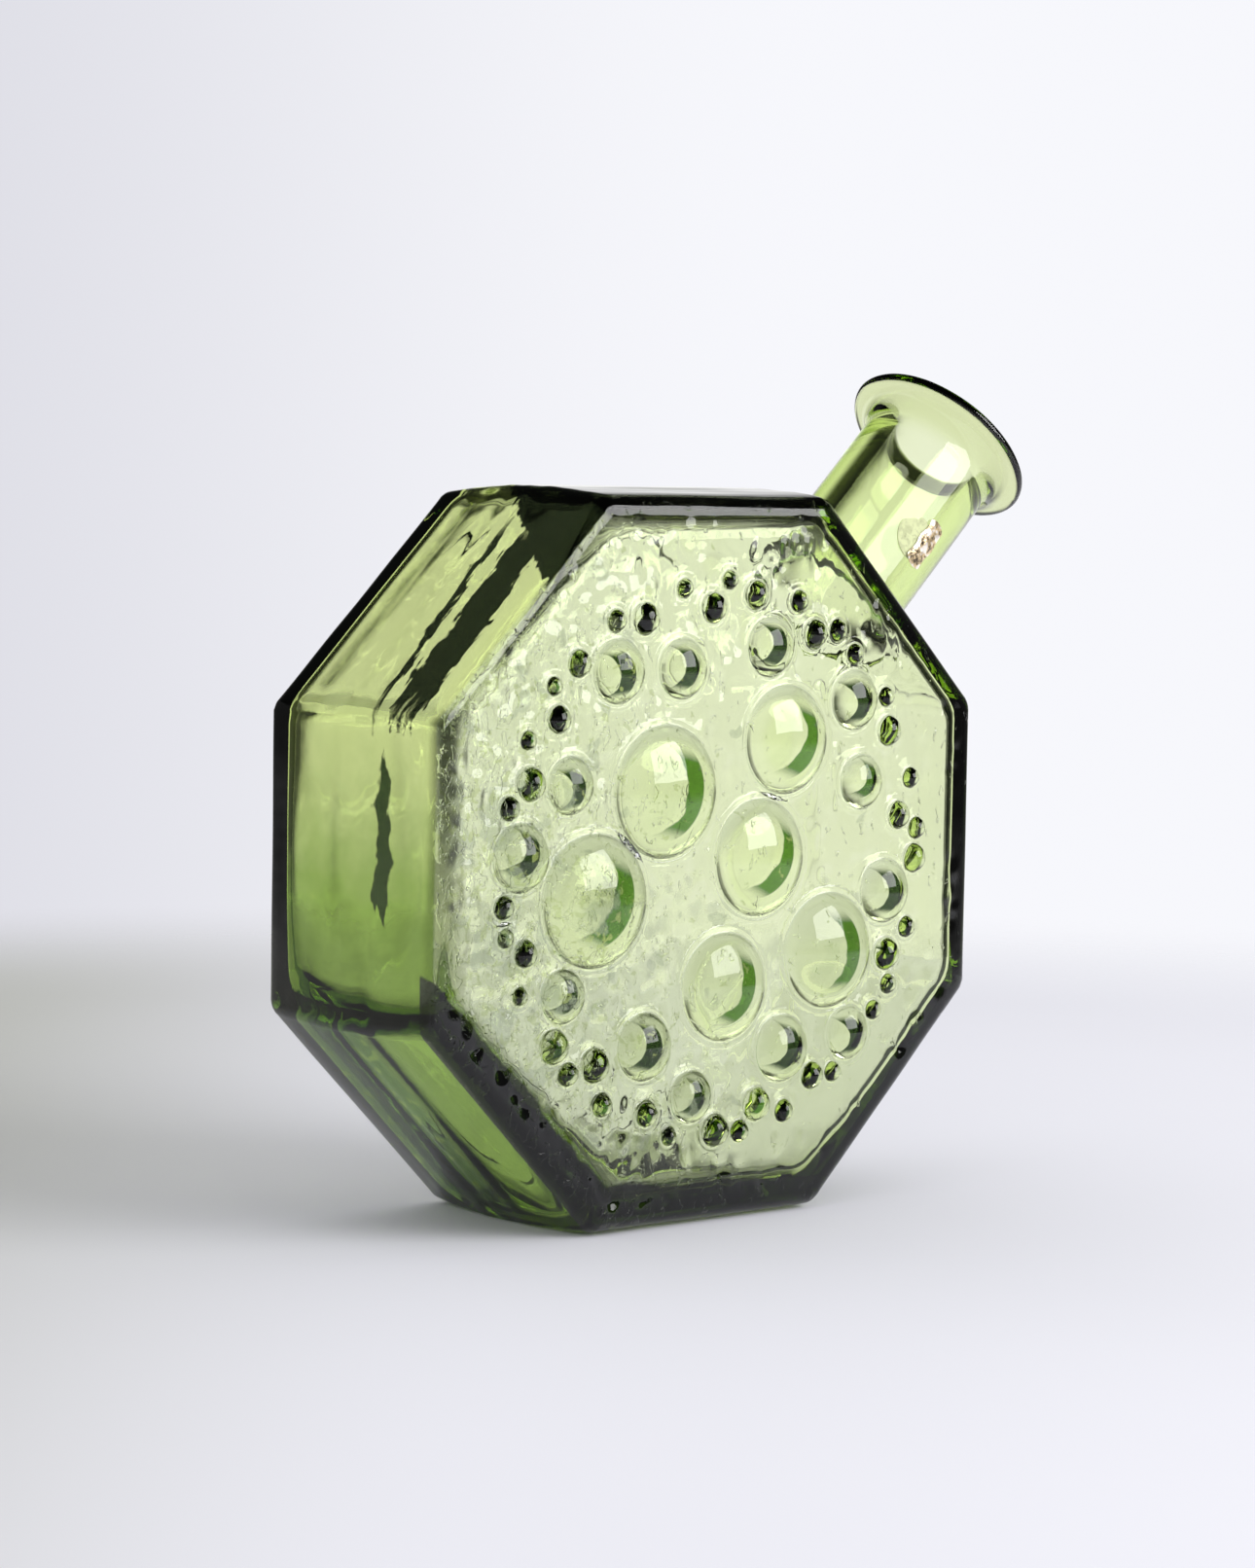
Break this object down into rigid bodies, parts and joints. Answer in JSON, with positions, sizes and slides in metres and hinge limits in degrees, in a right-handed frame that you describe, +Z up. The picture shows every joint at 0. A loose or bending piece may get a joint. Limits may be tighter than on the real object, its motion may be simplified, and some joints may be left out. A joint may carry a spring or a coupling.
{
  "type": "glass vase",
  "caption": "Octagonal flat flask vase of green mould-blown glass with a relief of round domes, a slanted neck and a flared lip.",
  "frame": {"origin": "middle of the flat strip on the lowest side, which the vase stands on", "axes": "+Z up, -Y out of the face with the domes, +X towards the side that the neck leans to"},
  "size_m": [0.2183, 0.0727, 0.2138],
  "materials": {
    "green_glass": "glossy clear green glass",
    "sticker_paper": "matte torn paper with adhesive",
    "sticker_foil": "crumpled gold foil"
  },
  "bodies": {
    "root": {"glass_vessel": "green_glass", "label_paper": "sticker_paper", "label_foil": "sticker_foil"}
  },
  "joints": []
}
